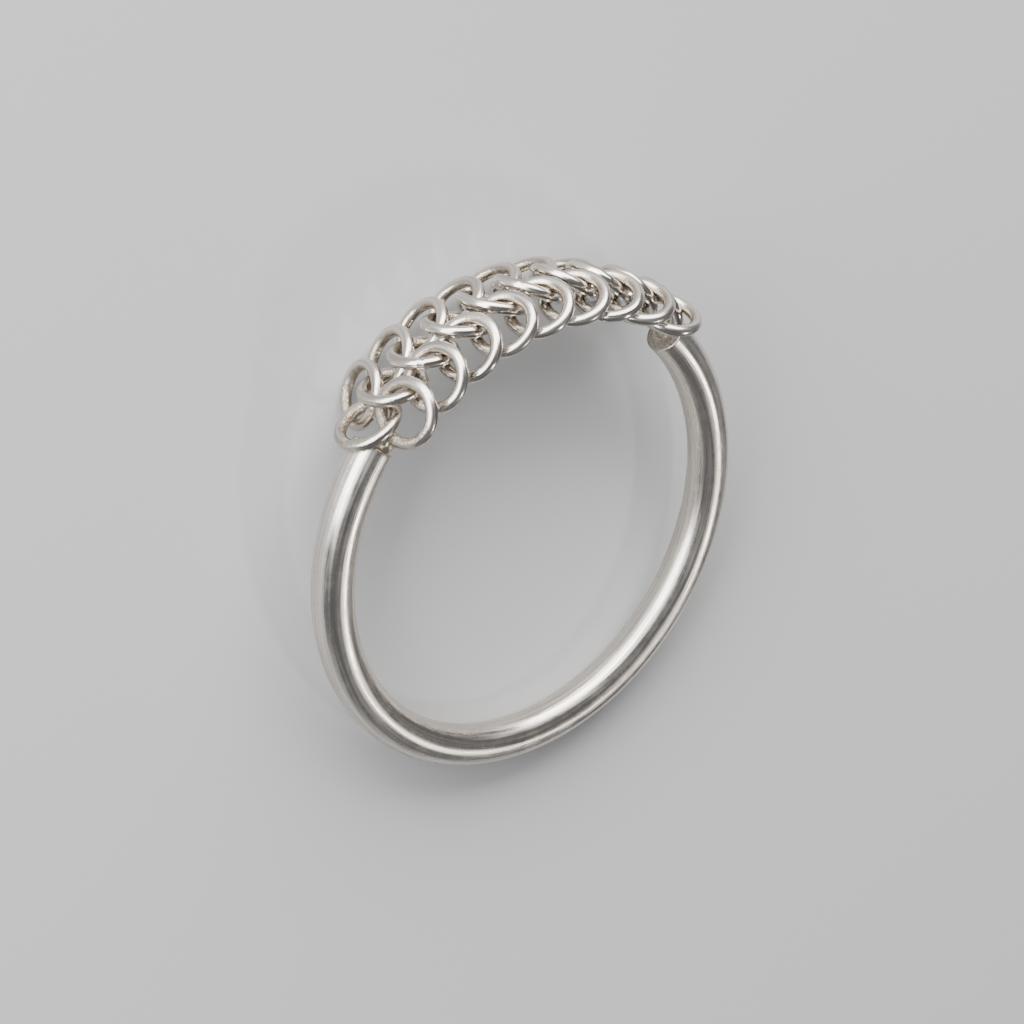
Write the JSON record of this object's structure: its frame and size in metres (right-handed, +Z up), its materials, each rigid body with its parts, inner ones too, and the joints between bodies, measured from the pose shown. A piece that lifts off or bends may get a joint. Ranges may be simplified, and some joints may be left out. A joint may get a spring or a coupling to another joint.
{
  "type": "chain link ring",
  "caption": "Finger ring of plain round wire whose front is a flat strip of small interlinked rings, soldered to the ends of the wire.",
  "frame": {"origin": "centre of the bounding box in X and Y, on the table that the ring lies on", "axes": "the ring lies on its side: +Z up out of the finger hole, +Y toward the linked strip, +X to its right seen from above"},
  "size_m": [0.0206, 0.0212, 0.0059],
  "materials": {
    "band_silver": "polished silver wire with fine drawing marks",
    "link_silver": "bright polished silver rings, each with a butt seam"
  },
  "bodies": {
    "root": {"band": "band_silver", "crest_link_2": "link_silver", "crest_link_3": "link_silver", "crest_link_4": "link_silver", "crest_link_5": "link_silver", "crest_link_6": "link_silver", "crest_link_7": "link_silver", "crest_link_8": "link_silver", "crest_link_9": "link_silver", "near_link_2": "link_silver", "near_link_3": "link_silver", "near_link_4": "link_silver", "near_link_5": "link_silver", "near_link_6": "link_silver", "near_link_7": "link_silver", "near_link_8": "link_silver", "near_link_9": "link_silver", "far_link_1": "link_silver", "far_link_2": "link_silver", "far_link_3": "link_silver", "far_link_4": "link_silver", "far_link_5": "link_silver", "far_link_6": "link_silver", "far_link_7": "link_silver", "far_link_8": "link_silver", "far_link_9": "link_silver"}
  },
  "joints": []
}
